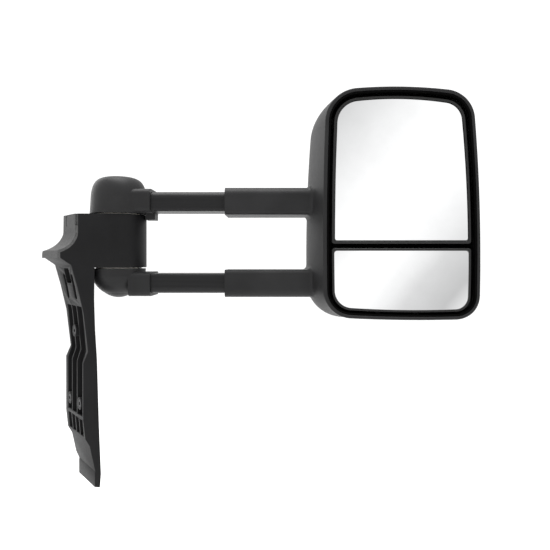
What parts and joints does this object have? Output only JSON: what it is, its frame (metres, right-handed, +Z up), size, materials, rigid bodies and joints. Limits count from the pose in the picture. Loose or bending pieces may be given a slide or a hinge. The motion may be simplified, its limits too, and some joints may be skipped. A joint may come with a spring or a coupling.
{
  "type": "extendable towing mirror",
  "caption": "Door-mounted towing mirror with a folding knuckle, telescoping twin arms and a tall head holding a flat glass over a convex glass, each on a ball joint.",
  "frame": {"origin": "centre of the flat pad that bears on the vehicle's door", "axes": "+X out from the vehicle along the arms, +Y forwards, +Z up; the glasses face -Y"},
  "size_m": [0.5845, 0.106, 0.5112],
  "materials": {
    "moulded_black": "fine-grained moulded black plastic",
    "base_black": "glass-filled nylon, satin, lightly grained",
    "satin_black": "satin black powder coat on aluminium",
    "recess_black": "deep black, smooth",
    "holder_black": "smooth black",
    "silvered_glass": "first-surface look, very slight cool tint",
    "foam_grey": "closed-cell foam, speckled grey",
    "adhesive_foam": "thin adhesive foam pad",
    "zinc_steel": "zinc-plated steel",
    "spring_steel": "oiled spring steel",
    "bronze": "sintered bronze",
    "natural_nylon": "natural nylon, off-white",
    "black_oxide": "black oxide screws"
  },
  "bodies": {
    "base": {"door_base": "base_black", "door_seal": "foam_grey", "threaded_inserts": "black_oxide", "trim_clip": "moulded_black", "bush_upper": "bronze", "bush_lower": "bronze"},
    "arm": {"upper_knuckle": "moulded_black", "lower_knuckle": "moulded_black", "pivot_post": "zinc_steel", "post_pin": "spring_steel", "thrust_washer_upper": "natural_nylon", "thrust_washer_lower": "natural_nylon", "disc_springs": "spring_steel", "pivot_nut": "zinc_steel", "knuckle_cap": "moulded_black", "arm_tube_upper": "satin_black", "arm_tube_lower": "satin_black", "tube_guide_upper": "natural_nylon", "tube_guide_lower": "natural_nylon", "tube_screws": "black_oxide"},
    "head": {"head_housing": "moulded_black", "head_cover": "moulded_black", "bezel": "recess_black", "carrier_plate": "recess_black", "carrier_screws": "black_oxide", "cover_screws": "black_oxide", "grip_screws": "black_oxide", "sleeve_liner_upper": "natural_nylon", "sleeve_liner_lower": "natural_nylon", "ball_stud_upper": "zinc_steel", "ball_stud_lower": "zinc_steel", "stud_nuts": "zinc_steel"},
    "swivel_upper": {"swivel_liner_upper": "natural_nylon"},
    "glass_upper": {"glass_holder_upper": "holder_black", "glass_pad_upper": "adhesive_foam", "mirror_glass_upper": "silvered_glass", "ball_socket_upper": "holder_black"},
    "swivel_lower": {"swivel_liner_lower": "natural_nylon"},
    "glass_lower": {"glass_holder_lower": "holder_black", "glass_pad_lower": "adhesive_foam", "mirror_glass_lower": "silvered_glass", "ball_socket_lower": "holder_black"}
  },
  "joints": [
    {"name": "arm_fold", "type": "hinge", "parent": "base", "child": "arm", "pos_m": [0.05825, 0.0065, 0.1935], "axis": [0, 0, 1], "range_deg": [-65, 60]},
    {"name": "head_slide", "type": "slide", "parent": "arm", "child": "head", "axis": [1, 0, 0], "range_m": [-0.088, 0]},
    {"name": "upper_pan", "type": "hinge", "parent": "head", "child": "swivel_upper", "pos_m": [0.42925, -0.0345, 0.2835], "axis": [0, 0, 1], "range_deg": [-7, 7]},
    {"name": "upper_tilt", "type": "hinge", "parent": "swivel_upper", "child": "glass_upper", "pos_m": [0.42925, -0.0345, 0.2835], "axis": [1, 0, 0], "range_deg": [-7, 7]},
    {"name": "lower_pan", "type": "hinge", "parent": "head", "child": "swivel_lower", "pos_m": [0.42925, -0.0345, 0.1435], "axis": [0, 0, 1], "range_deg": [-7, 7]},
    {"name": "lower_tilt", "type": "hinge", "parent": "swivel_lower", "child": "glass_lower", "pos_m": [0.42925, -0.0345, 0.1435], "axis": [1, 0, 0], "range_deg": [-7, 7]}
  ]
}
